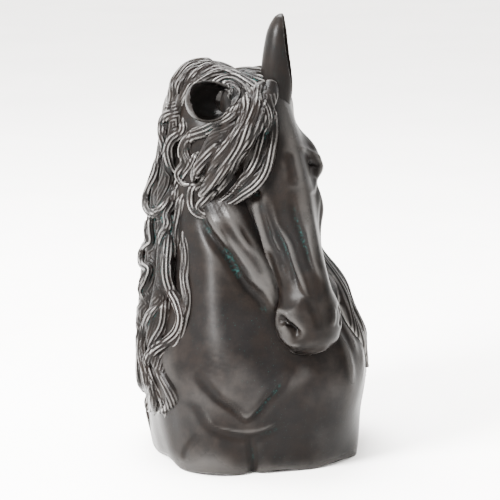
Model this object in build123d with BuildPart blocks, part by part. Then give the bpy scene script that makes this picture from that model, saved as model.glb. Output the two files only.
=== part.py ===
from build123d import *
import math
import os

# A horse's head and neck in cast bronze, hollow, standing on the open rim of its chest.
# Millimetres, +Z up. The chest faces -Y, the head is turned towards +X and hangs before the chest.
# Left and right are the horse's own: its right side faces -X.

# Driving dimensions
WALL = 4.0  # casting wall
HEAD_LENGTH = 278.0  # poll to lips
HEAD_TURN = 35.0  # degrees, of the face from -Y towards +X
HEAD_DROP = 26.0  # degrees, of the head's long axis from plumb
POLL = (0.0, 0.0, 376.0)  # top of the head's long axis, between the ears
OUTLINE_POINTS = 16  # on each level of the neck
STAND_SHIFT = (0.3, -5.7, 0.0)  # sets the middle of the whole over the origin
WELD_GAP = 0.05  # between one lock of hair and the next

# Chest and neck, level by level: height, centre x, centre y, half width, half depth, turn, squareness
NECK = [
    (0, 3, 4, 95, 99, 12, 2.7),
    (20, 2, 4, 100, 102, 12, 2.65),
    (45, 2, 3, 105, 104, 12, 2.55),
    (85, 3, 2, 111, 106, 12, 2.4),
    (130, 1, 5, 108, 102, 12, 2.2),
    (175, -3, 12, 98, 93, 13, 2.1),
    (220, -14, 20, 82, 84, 14, 2.0),
    (265, -21, 24, 69, 76, 15, 2.0),
    (310, -27, 24, 58, 68, 17, 2.0),
    (350, -32, 20, 48, 57, 20, 2.0),
    (374, -34, 17, 37, 44, 22, 2.0),
    (390, -35, 15, 16, 20, 22, 2.0),
]
NECK_CAVITY_TOP = 350

# Head, slice by slice down its axis:
# distance, forehead, jaw, half width, height of the widest place, half width of the jaw
HEAD = [
    (-14, 20, -40, 24, 0, 18),
    (15, 33, -62, 39, 4, 29),
    (52, 40, -78, 46, 12, 32),
    (85, 42, -88, 46, 14, 32),
    (118, 40, -90, 42, 8, 30),
    (152, 35, -81, 35, 3, 27),
    (187, 30, -60, 29, 0, 25),
    (217, 26, -47, 27, -3, 23),
    (244, 23, -42, 31, -5, 26),
    (262, 17, -37, 28, -7, 22),
    (HEAD_LENGTH, 4, -24, 14, -9, 11),
]
HEAD_CAVITY = (52, 217)  # first and last slice that are hollow

# Spigot on the back of the head, in the neck's collar, with its locking pins.
# Depths are behind the point where the spigot's axis crosses the head.
SPIGOT_ALONG, SPIGOT_HEIGHT = 62.0, -14.0
SPIGOT_LEAD = 34.0  # from there forward, into the head's cavity
SPIGOT_RADIUS, SPIGOT_BORE, SPIGOT_END = 19.0, 14.0, 62.0
COLLAR_RADIUS, COLLAR_FIT, COLLAR_END = 25.0, 0.05, 66.0
PIN_RADIUS, PIN_COUNT, PIN_DEPTH = 2.5, 4, 56.0

# Ears: height, half width, half thickness
EAR = [(0, 11, 12), (14, 13.5, 14), (36, 15.5, 14.5), (56, 15, 13.5), (70, 12, 11), (82, 7, 7), (90, 2.5, 2.5)]
EAR_HOLLOW = [(12, 5, 4), (24, 10, 9), (42, 12.5, 11), (58, 11.5, 10), (78, 6, 6)]
EAR_HOLLOW_SHIFT = 6.5  # towards the ear's open side
TENON_RADIUS, TENON_LENGTH = 4.0, 12.0
LEFT_EAR_SEAT = (28, 16, 22)  # along the head, to its left, to the forehead
LEFT_EAR_AIM, LEFT_EAR_OPEN = Vector(0.01, 0.08, 1), Vector(0.97, -0.12, 0)
LEFT_EAR_LENGTH, LEFT_EAR_BREADTH = 89.0, 1.0
RIGHT_EAR_SEAT = (20, -42, 10)  # laid out sideways
RIGHT_EAR_AIM, RIGHT_EAR_OPEN = Vector(-0.72, -0.69, -0.05), Vector(0.63, -0.69, 0.33)
RIGHT_EAR_LENGTH, RIGHT_EAR_BREADTH = 56.0, 1.2

# Forelock: each lock's course as places along the head, to its left and to its forehead, with its
# half widths and half thicknesses. It springs from the poll and is swept over the right cheek.
FORELOCK = [
    [(14, -14, 40), (30, -38, 38), (46, -56, 20), (58, -66, -4), (70, -71, -20), (80, -74, -30)],
    [(12, -8, 42), (38, -30, 45), (60, -54, 28), (76, -64, 2), (90, -69, -20), (98, -72, -34)],
    [(12, -2, 44), (46, -20, 50), (74, -46, 38), (94, -58, 8), (106, -65, -16), (114, -68, -34)],
    [(14, 4, 44), (52, -6, 51), (88, -30, 46), (112, -49, 18), (124, -57, -12), (128, -62, -34)],
]
FORELOCK_HALF_WIDTH = [6, 10, 11, 11, 9, 3]
FORELOCK_HALF_BODY = [4, 6, 6.5, 6.5, 6, 3]

# Crest: the tuft that arches from the poll over the top of the neck
CREST = [(6, 2, 377), (-14, 8, 376), (-38, 14, 386), (-60, 18, 385), (-76, 22, 364), (-86, 26, 334)]
CREST_MIDDLE = (-34, 20, 340)
CREST_HALF_WIDTH = [9, 18, 24, 24, 19, 6]
CREST_HALF_BODY = [5, 9, 10, 10, 9, 3]

# Bronze plugs in the holes that the core pins left: azimuth and height on the neck
PLUG_RADIUS = 4.0
PLUGS = [(0, 60), (0, 215), (90, 150), (180, 80), (180, 250), (270, 120)]

# Locks of the mane, round the neck from the right side over the back to the left side
MANE_EDGE_BOTTOM = [48, 63, 79, 97, 117, 139, 161, 182, 203, 224, 243, 262, 279, 295]  # degrees
MANE_EDGE_TOP = [62, 76, 91, 107, 123, 139, 155, 171, 187, 203, 219, 235, 251, 267]
MANE_HEM = [52, 44, 58, 40, 52, 38, 50, 42, 54, 40, 56, 70, 88]  # height of each lock's tip
MANE_BODY = [13, 15, 15, 15, 15, 17, 17, 17, 15, 14, 13, 11, 9]  # thickness of each lock
MANE_TOP = 376
MANE_WAVE, MANE_WAVELENGTH = 4.5, 120.0  # degrees, and millimetres of height
MANE_LEVELS = 8
MANE_SPREAD = 1.5  # how late the locks fan out on their way down
MANE_UNDERSIDE, MANE_EDGE_LIFT = -5.0, 1.0  # before a lock is cut to the neck, from the neck's skin
TIP_WIDTH, TIP_FILL = 0.25, 4.0  # a lock's width at its tip, and how fast it grows full
TIP_BODY, TIP_PHASE, TOP_PHASE = 0.35, 0.12, 0.92  # a lock's thickness at its tip and towards the top
MANE_NAMES = ["right"] * 6 + ["back"] * 3 + ["left"] * 4

turn, drop = math.radians(HEAD_TURN), math.radians(HEAD_DROP)
DOWN = Vector(math.sin(turn) * math.sin(drop), -math.cos(turn) * math.sin(drop), -math.cos(drop))
LEFT = Vector(math.cos(turn), math.sin(turn), 0)
FRONT = DOWN.cross(LEFT)  # out of the forehead
# Local x is the horse's left, local y is towards the forehead, local z runs from poll to lips
head_plane = Plane(origin=POLL, x_dir=LEFT, z_dir=DOWN)


def on_head(along, left, front):
    """A point from its places along the head, towards the horse's left and towards the forehead."""
    return Vector(*POLL) + DOWN * along + LEFT * left + FRONT * front


def radius_of(half_width, half_depth, squareness, angle):
    """Distance from the middle of a rounded rectangle to its edge."""
    across = abs(math.cos(angle)) / half_width
    deep = abs(math.sin(angle)) / half_depth
    return (across**squareness + deep**squareness) ** (-1 / squareness)


def even_spline(outline):
    """A closed curve whose points are evenly numbered, so that lofts through such curves stay light."""
    return Edge.make_spline([Vector(*p) for p in outline], periodic=True, parameters=range(len(outline) + 1))


def neck_level(row, grow=0.0):
    """One level of the neck as a sketch."""
    z, x, y, half_width, half_depth, twist, squareness = row
    outline = []
    for k in range(OUTLINE_POINTS):
        angle = 2 * math.pi * (k / OUTLINE_POINTS - 0.25)
        reach = radius_of(half_width + grow, half_depth + grow, squareness, angle)
        heading = angle + math.radians(twist)
        outline.append((x + reach * math.cos(heading), y + reach * math.sin(heading)))
    with BuildSketch(Plane.XY.offset(z)) as level:
        with BuildLine():
            add(even_spline(outline))
        make_face()
    return level.sketch


def neck_solid(grow=0.0, top=NECK[-1][0]):
    """The neck's form as one solid, grown outwards, up to a height."""
    levels = [neck_level(row, grow) for row in NECK if row[0] <= top]
    with BuildPart() as form:
        loft(sections=levels)
    return form.part


def neck_row(z):
    """The neck's level at any height, between the stated ones."""
    for low, high in zip(NECK, NECK[1:]):
        if z <= high[0]:
            share = (z - low[0]) / (high[0] - low[0])
            return [a + share * (b - a) for a, b in zip(low, high)]
    return NECK[-1]


def on_neck(azimuth, z, lift):
    """A point above the neck's skin. Azimuth is in degrees from -Y, towards -X."""
    _, x, y, half_width, half_depth, twist, squareness = neck_row(z)
    heading = math.radians(-90 - azimuth)
    reach = radius_of(half_width, half_depth, squareness, heading - math.radians(twist)) + lift
    return (x + reach * math.cos(heading), y + reach * math.sin(heading))


def head_slice(distance, forehead, jaw, width, widest, jaw_width, inset=0.0):
    """One closed slice of the head, square to its axis."""
    top, low = forehead - inset, jaw + inset
    side, chin = width - inset, max(jaw_width - inset, 4)
    shoulder = top - 0.12 * (top - low)
    cheek = low + 0.13 * (top - low)
    right = [(0.62 * side, shoulder), (side, widest), (0.5 * (side + chin), 0.5 * (widest + cheek))]
    right += [(chin, cheek), (0.66 * chin, low + 0.03 * (top - low))]
    left = [(-x, y) for x, y in reversed(right)]
    outline = [(0, top), *right, (0, low), *left]
    with BuildSketch(head_plane.offset(distance)) as section:
        with BuildLine():
            add(even_spline(outline))
        make_face()
    return section.sketch


def head_solid(inset=0.0, first=HEAD[0][0], last=HEAD_LENGTH):
    """The head's form as one solid, drawn in by the wall where it is hollow."""
    slices = [head_slice(*row, inset=inset) for row in HEAD if first <= row[0] <= last]
    with BuildPart() as form:
        loft(sections=slices)
    return form.part


def rod(start, end, radius):
    """A round bar from one point to another."""
    with BuildPart() as bar:
        with BuildSketch(Plane(origin=start, z_dir=end - start)):
            Circle(radius)
        extrude(amount=(end - start).length)
    return bar.part


def cut(shape, *tools):
    """A solid without its neighbours' space, and without crumbs."""
    box = shape.bounding_box()
    with BuildPart() as kept:
        add(shape)
        for tool in tools:
            if box.overlaps(tool.bounding_box()):
                add(tool, mode=Mode.SUBTRACT)
    return kept.part.solids().sort_by(SortBy.VOLUME)[-1]


def lock(points, outward, widths, bodies):
    """A tapering lock of hair: an ellipse carried along a curve, flat side to the form beneath."""
    path = Spline(points)
    sections = []
    for k, (width, body) in enumerate(zip(widths, bodies)):
        share = k / (len(widths) - 1)
        tangent = path % share
        across = tangent.cross(outward[min(k, len(outward) - 1)])
        with BuildSketch(Plane(origin=path @ share, x_dir=across, z_dir=tangent)) as section:
            Ellipse(width, body)
        sections.append(section.sketch)
    with BuildPart() as hair:
        loft(sections=sections)
    return hair.part


def mane_lock(number):
    """One lock of the mane between its two edges, from the crest to its tip."""
    hem, body = MANE_HEM[number], MANE_BODY[number]
    sections = []
    for k in range(MANE_LEVELS):
        share = k / (MANE_LEVELS - 1)
        z = hem + share * (MANE_TOP - hem)
        wave = MANE_WAVE * math.sin(2 * math.pi * z / MANE_WAVELENGTH)
        edges = []
        for side in (number, number + 1):
            low, high = MANE_EDGE_BOTTOM[side], MANE_EDGE_TOP[side]
            edges.append(low + (z / MANE_TOP) ** MANE_SPREAD * (high - low) + wave)
        middle = 0.5 * (edges[0] + edges[1])
        fullness = min(1, TIP_WIDTH + TIP_FILL * share)
        half = 0.5 * (edges[1] - edges[0]) * fullness - math.degrees(WELD_GAP / neck_row(z)[3])
        first, last = middle - half, middle + half
        phase = math.pi * (TIP_PHASE + share * (TOP_PHASE - TIP_PHASE))
        height = body * (TIP_BODY + (1 - TIP_BODY) * math.sin(phase))
        with BuildSketch(Plane.XY.offset(z)) as section:
            with BuildLine():
                outer = [
                    on_neck(first, z, MANE_EDGE_LIFT),
                    on_neck(middle, z, height),
                    on_neck(last, z, MANE_EDGE_LIFT),
                ]
                inner = [on_neck(azimuth, z, MANE_UNDERSIDE) for azimuth in (first, middle, last)]
                ThreePointArc(*outer)
                Line(outer[2], inner[2])
                ThreePointArc(*reversed(inner))
                Line(inner[0], outer[0])
            make_face()
        sections.append(section.sketch)
    with BuildPart() as hair:
        loft(sections=sections)
    return hair.part


def intersect(shape, other):
    """The part of a solid that lies in another."""
    with BuildPart() as shared:
        add(shape)
        add(other, mode=Mode.INTERSECT)
    return shared.part


def spigot_line(depth):
    """A point on the spigot's axis, behind the head."""
    return on_head(SPIGOT_ALONG, 0, SPIGOT_HEIGHT) - FRONT * depth


def spigot_bar(end, radius):
    """A round bar on the spigot's axis, from inside the head's cavity to a depth."""
    return rod(spigot_line(-SPIGOT_LEAD), spigot_line(end), radius)


def pin_rods(radius):
    """The pins that lock spigot and collar, set round their axis."""
    middle = spigot_line(PIN_DEPTH)
    rods = []
    for k in range(PIN_COUNT):
        angle = 2 * math.pi * (k + 0.5) / PIN_COUNT
        aim = LEFT * math.cos(angle) + DOWN * math.sin(angle)
        rods.append(rod(middle + aim * SPIGOT_BORE, middle + aim * COLLAR_RADIUS, radius))
    return rods


def ear_plane(seat, aim, opening):
    """The ear's own plane: z from root to tip, y towards its open side."""
    return Plane(origin=on_head(*seat), x_dir=aim.cross(opening) * -1, z_dir=aim)


left_ear_plane = ear_plane(LEFT_EAR_SEAT, LEFT_EAR_AIM, LEFT_EAR_OPEN)
right_ear_plane = ear_plane(RIGHT_EAR_SEAT, RIGHT_EAR_AIM, RIGHT_EAR_OPEN)


def ear_tenon(plane, radius):
    """The peg under the ear, which stands in the head."""
    return rod((plane.offset(-TENON_LENGTH)).origin, (plane.offset(TENON_LENGTH)).origin, radius)


def ear_form(plane, rows, scale, breadth, shift=0.0):
    """Ellipses carried up an ear."""
    sections = []
    for height, half_width, half_body in rows:
        with BuildSketch(plane.offset(height * scale)) as section:
            with Locations((0, shift)):
                Ellipse(half_width * breadth, half_body * breadth)
        sections.append(section.sketch)
    with BuildPart() as form:
        loft(sections=sections)
    return form.part


def ear(plane, length, breadth, *neighbours):
    """One ear: a leaf with a hollow on its open side, and a tenon."""
    scale = length / EAR[-1][0]
    with BuildPart() as leaf:
        add(ear_form(plane, EAR, scale, breadth))
        add(ear_form(plane, EAR_HOLLOW, scale, breadth, EAR_HOLLOW_SHIFT), mode=Mode.SUBTRACT)
        for neighbour in neighbours:
            add(neighbour, mode=Mode.SUBTRACT)
    whole = leaf.part.solids().sort_by(SortBy.VOLUME)[-1]
    with BuildPart() as pegged:
        add(whole)
        add(ear_tenon(plane, TENON_RADIUS))
    return pegged.part


def plug_rods(radius):
    """Rods through the neck's wall at the core pins' places."""
    rods = []
    for azimuth, z in PLUGS:
        outside = Vector(*on_neck(azimuth, z, 3), z)
        inside = Vector(*on_neck(azimuth, z, -3 * WALL), z)
        rods.append(rod(inside, outside, radius))
    return rods


def bust_shell(neck):
    """The hollow casting of chest and neck, with the collar that takes the head's spigot."""
    sleeve = intersect(spigot_bar(COLLAR_END, COLLAR_RADIUS), neck)
    with BuildPart() as shell:
        add(neck)
        add(neck_solid(grow=-WALL, top=NECK_CAVITY_TOP), mode=Mode.SUBTRACT)
        add(sleeve)
        add(spigot_bar(COLLAR_END + 1, SPIGOT_RADIUS + COLLAR_FIT), mode=Mode.SUBTRACT)
        add(pin_rods(PIN_RADIUS), mode=Mode.SUBTRACT)
        add(plug_rods(PLUG_RADIUS), mode=Mode.SUBTRACT)
    return shell.part


def head_shell(head, neck):
    """The hollow casting of the head, with its back wall, its spigot and the sockets for the ears."""
    hollow = head_solid(inset=WALL, first=HEAD_CAVITY[0], last=HEAD_CAVITY[1])
    with BuildPart() as shell:
        add(cut(head, neck))
        add(cut(hollow, neck_solid(grow=WALL)), mode=Mode.SUBTRACT)
        add(intersect(spigot_bar(SPIGOT_END, SPIGOT_RADIUS), neck_solid(grow=WALL / 2)))
        add(spigot_bar(SPIGOT_END + 1, SPIGOT_BORE), mode=Mode.SUBTRACT)
        add(pin_rods(PIN_RADIUS), mode=Mode.SUBTRACT)
        for plane in (left_ear_plane, right_ear_plane):
            add(ear_tenon(plane, TENON_RADIUS), mode=Mode.SUBTRACT)
    return shell.part


def core_plugs(neck):
    """The plugs, cut flush with both faces of the neck's wall."""
    cavity = neck_solid(grow=-WALL, top=NECK_CAVITY_TOP)
    with BuildPart() as plugs:
        add(plug_rods(PLUG_RADIUS))
        add(neck, mode=Mode.INTERSECT)
        add(cavity, mode=Mode.SUBTRACT)
    return plugs.part


def joint_pins():
    """The pins that lock the head's spigot in the neck's collar."""
    with BuildPart() as pins:
        add(pin_rods(PIN_RADIUS))
    return pins.part


def crest_lock():
    """The tuft over the top of the neck."""
    course = [Vector(*point) for point in CREST]
    outward = [point - Vector(*CREST_MIDDLE) for point in course]
    return lock(course, outward, CREST_HALF_WIDTH, CREST_HALF_BODY)


def forelock_lock(course):
    """One lock of the forelock, laid over the right cheek."""
    outward = [LEFT * left + FRONT * front for _, left, front in course]
    return lock([on_head(*p) for p in course], outward, FORELOCK_HALF_WIDTH, FORELOCK_HALF_BODY)


def sculpture():
    """Every piece by its name."""
    neck, head = neck_solid(), head_solid()
    pieces = {
        "bust_shell": bust_shell(neck),
        "head_shell": head_shell(head, neck),
        "core_plugs": core_plugs(neck),
        "joint_pins": joint_pins(),
        "left_ear": ear(left_ear_plane, LEFT_EAR_LENGTH, LEFT_EAR_BREADTH, head, neck),
        "right_ear": ear(right_ear_plane, RIGHT_EAR_LENGTH, RIGHT_EAR_BREADTH, head, neck),
    }
    laid = [neck, head, pieces["left_ear"], pieces["right_ear"]]
    hair = {"mane_crest": crest_lock()}
    for number, course in enumerate(FORELOCK, 1):
        hair[f"forelock_{number}"] = forelock_lock(course)
    for name, whole in hair.items():
        pieces[name] = cut(whole, *laid)
        laid.append(pieces[name])
    for number, side in enumerate(MANE_NAMES):
        name = f"mane_{side}_{MANE_NAMES[: number + 1].count(side)}"
        pieces[name] = cut(mane_lock(number), *laid)
    return pieces


if __name__ == "__main__":
    os.makedirs("parts", exist_ok=True)
    for name, piece in sculpture().items():
        with BuildPart() as node:
            add(piece.moved(Location(STAND_SHIFT)))
        node.part.label = name
        export_step(node.part, f"parts/{name}.step")
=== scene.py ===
"""A horse's bust in cast bronze: chest and neck, head, ears and hair, sculpted round its solid parts."""

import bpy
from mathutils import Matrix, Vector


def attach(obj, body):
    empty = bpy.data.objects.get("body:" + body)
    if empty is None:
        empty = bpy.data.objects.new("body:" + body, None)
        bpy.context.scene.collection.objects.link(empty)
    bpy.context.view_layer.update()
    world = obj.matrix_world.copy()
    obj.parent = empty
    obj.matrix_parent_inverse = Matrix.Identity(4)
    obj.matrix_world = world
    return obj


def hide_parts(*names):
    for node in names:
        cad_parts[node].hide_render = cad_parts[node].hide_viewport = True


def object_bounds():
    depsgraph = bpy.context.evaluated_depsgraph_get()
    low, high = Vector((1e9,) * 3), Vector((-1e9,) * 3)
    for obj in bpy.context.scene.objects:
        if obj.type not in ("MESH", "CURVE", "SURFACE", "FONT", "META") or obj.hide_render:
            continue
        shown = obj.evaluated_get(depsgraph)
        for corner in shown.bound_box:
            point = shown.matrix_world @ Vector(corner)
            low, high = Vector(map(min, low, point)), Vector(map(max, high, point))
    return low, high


bl_info = {
    "name": "Bronze Horse Bust",
    "version": (1, 0, 0),
    "blender": (4, 5, 0),
    "location": "3D View > Sidebar > Horse Bust",
    "description": "Sculpts a cast bronze bust of a horse round its solid parts",
    "category": "Add Mesh",
}

import math

import bmesh
import bpy
import numpy as np
from bpy.props import FloatProperty, FloatVectorProperty, IntProperty, PointerProperty
from mathutils import Vector
from mathutils.bvhtree import BVHTree

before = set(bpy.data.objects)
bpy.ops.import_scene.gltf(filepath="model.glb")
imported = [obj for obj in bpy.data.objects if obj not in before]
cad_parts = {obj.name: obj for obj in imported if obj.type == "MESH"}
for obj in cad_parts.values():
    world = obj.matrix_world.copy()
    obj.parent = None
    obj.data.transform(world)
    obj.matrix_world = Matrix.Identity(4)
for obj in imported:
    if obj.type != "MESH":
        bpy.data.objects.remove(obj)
CAD_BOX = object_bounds()

# Everything is sculpted in millimetres on the bench, then set on its stand in metres.
MM = 0.001
STROKE_ENDS = 0.25  # the share of a stroke that each of its ends fades over
BOX_EASE = 5.0  # how softly forms that stand out too far are drawn in
STAND = np.array((0.3, -5.7, 0.0))
NECK_NODE, HEAD_NODE = "bust_shell", "head_shell"
CREST_NODES = ["mane_crest"]
FORELOCK_NODES = [f"forelock_{number}" for number in range(1, 5)]
RIGHT_NODES = [f"mane_right_{number}" for number in range(1, 7)]
BACK_NODES = [f"mane_back_{number}" for number in range(1, 4)]
LEFT_NODES = [f"mane_left_{number}" for number in range(1, 5)]

# Flat drawings are made on a board that leans back before the bust: right and up, in millimetres.
BOARD_LEAN = math.radians(12.5)
BOARD_RIGHT = np.array((1.0, 0.0, 0.0))
BOARD_UP = np.array((0.0, math.sin(BOARD_LEAN), math.cos(BOARD_LEAN)))
BOARD_AWAY = np.array((0.0, math.cos(BOARD_LEAN), -math.sin(BOARD_LEAN)))

# Chest and neck, level by level: height, middle x, middle y, half width, half depth, turn, squareness
NECK = [
    (0, 0, 4, 100, 98, 16, 3.0),
    (20, 0, 4, 104, 101, 14, 2.8),
    (45, 0, 3, 107, 104, 13, 2.6),
    (85, 2, 2, 112, 106, 12, 2.4),
    (130, 1, 5, 108, 102, 12, 2.2),
    (175, -3, 12, 98, 93, 13, 2.1),
    (220, -14, 20, 82, 84, 14, 2.0),
    (265, -21, 24, 69, 76, 15, 2.0),
    (310, -27, 24, 58, 68, 17, 2.0),
    (350, -32, 20, 48, 57, 20, 2.0),
    (374, -34, 17, 37, 44, 22, 2.0),
    (390, -35, 15, 16, 20, 22, 2.0),
]

# Head, slice by slice from poll to lips:
# distance, forehead, jaw, half width, height of the widest place, half width of the jaw
HEAD = [
    (-14, 18, -38, 20, 0, 15),
    (0, 28, -52, 33, 2, 24),
    (20, 35, -64, 40, 5, 29),
    (52, 39, -78, 43, 12, 32),
    (85, 40, -87, 42, 14, 31),
    (118, 38, -88, 37, 8, 29),
    (152, 33, -79, 31, 3, 26),
    (187, 29, -59, 26, 0, 24),
    (217, 26, -50, 26, -3, 23),
    (244, 22, -47, 30, -5, 27),
    (260, 16, -41, 27, -7, 23),
    (270, 8, -32, 20, -9, 16),
    (275, -1, -19, 7, -10, 6),
]
POLL = np.array((0.0, 0.0, 376.0))


# ---- curves and fields


def hermite(places, values, at):
    """Values between stated places, on a smooth curve."""
    places, values, at = np.asarray(places, float), np.asarray(values, float), np.asarray(at, float)
    slope = np.gradient(values, places, axis=0)
    k = np.clip(np.searchsorted(places, at, side="right") - 1, 0, len(places) - 2)
    step = (places[k + 1] - places[k])[:, None]
    f = (at - places[k])[:, None] / step
    rise = 3 * f**2 - 2 * f**3
    lead, trail = (f**3 - 2 * f**2 + f) * step, (f**3 - f**2) * step
    return (1 - rise) * values[k] + rise * values[k + 1] + lead * slope[k] + trail * slope[k + 1]


def through(points, count):
    """A smooth course through points, in even steps. A flat list is places on the board: across, up."""
    points = np.asarray(points, float)
    if points.ndim == 1:
        points = points.reshape(-1, 2)
    runs = np.linalg.norm(np.diff(points, axis=0), axis=1)
    places = np.concatenate(([0.0], np.cumsum(runs)))
    return hermite(places, points, np.linspace(0, places[-1], count))


def eased(values, rounds):
    """A course's values evened out along it, its ends kept."""
    values = np.array(values, float)
    for _ in range(rounds):
        values[1:-1] = 0.25 * values[:-2] + 0.5 * values[1:-1] + 0.25 * values[2:]
    return values


def unit(vectors):
    """Vectors of length one."""
    return vectors / np.maximum(np.linalg.norm(vectors, axis=-1, keepdims=True), 1e-9)


def smooth_step(values):
    """Nought to one with soft ends."""
    values = np.clip(values, 0, 1)
    return values * values * (3 - 2 * values)


def stroke(where, course, width, height, fold=False):
    """The lift that a stroke of the tool gives to each place: a ridge, or a groove if height is negative.
    A fold is raised on the left of its course and sunk on the right."""
    lift = np.zeros(len(where))
    line = through(course, 60)
    reach = 2.6 * width
    near = ((where > line.min(0) - reach) & (where < line.max(0) + reach)).all(1).nonzero()[0]
    if not len(near):
        return lift
    offset = where[near][:, None, :] - line[None]
    distance = (offset**2).sum(-1)
    k = distance.argmin(1)
    distance = np.sqrt(distance[np.arange(len(near)), k])
    share = k / (len(line) - 1)
    taper = smooth_step(np.minimum(share, 1 - share) / STROKE_ENDS)
    across = distance / width
    profile = np.exp(-(across**2))
    if fold:
        heading = np.gradient(line, axis=0)[k]
        gap = offset[np.arange(len(near)), k]
        side = np.sign(heading[:, 0] * gap[:, 1] - heading[:, 1] * gap[:, 0])
        profile = side * across * np.exp(0.5 - 0.5 * across**2)
    lift[near] = height * profile * taper
    return lift


def swell(where, middle, radii, height):
    """The lift of a soft round swelling, or of a hollow if height is negative."""
    away = (where - np.array(middle, float)) / np.array(radii, float)
    return height * np.exp(-(away**2).sum(1))


def marks(where, strokes, swellings):
    """The lift of many strokes and swellings together."""
    lift = sum(stroke(where, *drawn) for drawn in strokes)
    return lift + sum(swell(where, *swelling) for swelling in swellings)


def on_board(points):
    """Where points fall on the board when looked at straight on."""
    return np.stack((points @ BOARD_RIGHT, points @ BOARD_UP), axis=-1)


# ---- clay and meshes


def grid_normals(grid):
    """Outward directions of a grid of rings, wrapped round."""
    down = np.gradient(grid, axis=0)
    along = np.roll(grid, -1, 1) - np.roll(grid, 1, 1)
    normals = unit(np.cross(along, down))
    middle = grid.mean(axis=1, keepdims=True)
    outward = (normals * (grid - middle)).sum()
    return normals if outward > 0 else -normals


def grid_faces(rings, around):
    """Faces of a closed grid: quads between rings, and one face over each end."""
    ring = np.arange(rings - 1)[:, None] * around
    k = np.arange(around)
    after = (k + 1) % around
    quads = np.stack((ring + k, ring + after, ring + around + after, ring + around + k), axis=-1)
    return [*quads.reshape(-1, 4).tolist(), k[::-1].tolist(), (k + (rings - 1) * around).tolist()]


def within_box(points):
    """Eases points that would pass the solids' own extent back inside it."""
    low, high = np.array(CAD_BOX) / MM - STAND
    middle, reach = 0.5 * (low + high), 0.5 * (high - low) - 0.6
    away = points - middle
    over = np.maximum(np.abs(away) - (reach - BOX_EASE), 0)
    away = np.sign(away) * (np.minimum(np.abs(away), reach - BOX_EASE) + BOX_EASE * np.tanh(over / BOX_EASE))
    return np.stack((middle[0] + away[:, 0], middle[1] + away[:, 1], points[:, 2]), axis=-1)


# Where the left of the neck is drawn in: how far, at what height, over what reach
DENTS = [(16, 203, 28), (9, 150, 24)]


def slimmed(points):
    """Draws the left of the neck in where it runs up from the shoulder."""
    points = np.array(points, float)
    dent = sum(depth * np.exp(-(((points[..., 2] - at) / reach) ** 2)) for depth, at, reach in DENTS)
    points[..., 0] -= dent * smooth_step((points[..., 0] - 20) / 50)
    return points


def new_piece(name, points, faces):
    """A mesh object from points in millimetres on the bench."""
    mesh = bpy.data.meshes.new(name)
    mesh.from_pydata(((within_box(np.asarray(points)) + STAND) * MM).tolist(), [], faces)
    mesh.validate()
    mesh.update()
    piece = bpy.data.objects.new(name, mesh)
    bpy.context.scene.collection.objects.link(piece)
    even_faces(piece)
    return piece


def even_faces(piece):
    """Turns all faces outward and shades them smooth."""
    work = bmesh.new()
    work.from_mesh(piece.data)
    bmesh.ops.recalc_face_normals(work, faces=work.faces)
    work.to_mesh(piece.data)
    work.free()
    piece.data.shade_smooth()


def fuse(piece, voxel, rounds):
    """Welds overlapping forms into one skin and softens it."""
    weld = piece.modifiers.new("weld", "REMESH")
    weld.mode = "VOXEL"
    weld.voxel_size = voxel * MM
    soften = piece.modifiers.new("soften", "SMOOTH")
    soften.factor = 0.5
    soften.iterations = rounds
    done = bpy.data.meshes.new_from_object(piece.evaluated_get(bpy.context.evaluated_depsgraph_get()))
    piece.modifiers.clear()
    old, piece.data = piece.data, done
    bpy.data.meshes.remove(old)
    piece.data.shade_smooth()


def listed(items, name, width=3, kind=np.float32):
    """One property of a mesh's points, edges or triangles, as an array."""
    values = np.empty(len(items) * width, kind)
    items.foreach_get(name, values)
    return values.reshape(-1, width)


def mark_relief(piece, rounds, depth):
    """Notes on every point how far it stands out of its surroundings, for the patina."""
    mesh = piece.data
    count = len(mesh.vertices)
    points, normals = listed(mesh.vertices, "co"), listed(mesh.vertices, "normal")
    edges = listed(mesh.edges, "vertices", 2, np.int32)
    ends = np.concatenate((edges[:, 0], edges[:, 1]))
    others = np.concatenate((edges[:, 1], edges[:, 0]))
    share = np.maximum(np.bincount(ends, minlength=count), 1)
    soft = points.astype(float)
    for _ in range(rounds):
        soft = np.stack([np.bincount(ends, soft[others, axis], count) / share for axis in range(3)], axis=1)
    relief = ((points - soft) * normals).sum(1) / (depth * MM)
    attribute = mesh.attributes.new("relief", "FLOAT", "POINT")
    attribute.data.foreach_set("value", np.clip(relief, -1, 1).astype(np.float32))


def solid_arrays(node):
    """Corners and triangles of a solid part, in millimetres on the bench."""
    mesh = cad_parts[node].data
    mesh.calc_loop_triangles()
    triangles = listed(mesh.loop_triangles, "vertices", 3, np.int32)
    return listed(mesh.vertices, "co") / MM - STAND, triangles.tolist()


def joined(shapes):
    """Several closed shapes as one list of points and faces."""
    points, faces, start = [], [], 0
    for corners, polygons in shapes:
        points.append(np.asarray(corners, float))
        faces += [[index + start for index in polygon] for polygon in polygons]
        start += len(corners)
    return np.concatenate(points), faces


def solid_tree(*nodes):
    """Solid parts that hair can be laid on."""
    points, faces = joined(map(solid_arrays, nodes))
    return BVHTree.FromPolygons(points.tolist(), faces)


# ---- finishes


class Shade:
    """A number that varies over a surface and can be reckoned with."""

    def __init__(self, paint, socket):
        self.paint, self.socket = paint, socket

    def sum_of(self, operation, *values):
        return self.paint.node("ShaderNodeMath", {"operation": operation}, *values)

    def __add__(self, other):
        return self.sum_of("ADD", self, other)

    def __sub__(self, other):
        return self.sum_of("SUBTRACT", self, other)

    def __rsub__(self, other):
        return self.sum_of("SUBTRACT", other, self)

    def __mul__(self, other):
        return self.sum_of("MULTIPLY", self, other)

    __radd__, __rmul__ = __add__, __mul__

    def limited(self, low, high):
        """From nought at low to one at high, with soft ends."""
        settings = {"interpolation_type": "SMOOTHSTEP"}
        return self.paint.node("ShaderNodeMapRange", settings, self, low, high, 0.0, 1.0)


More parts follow.
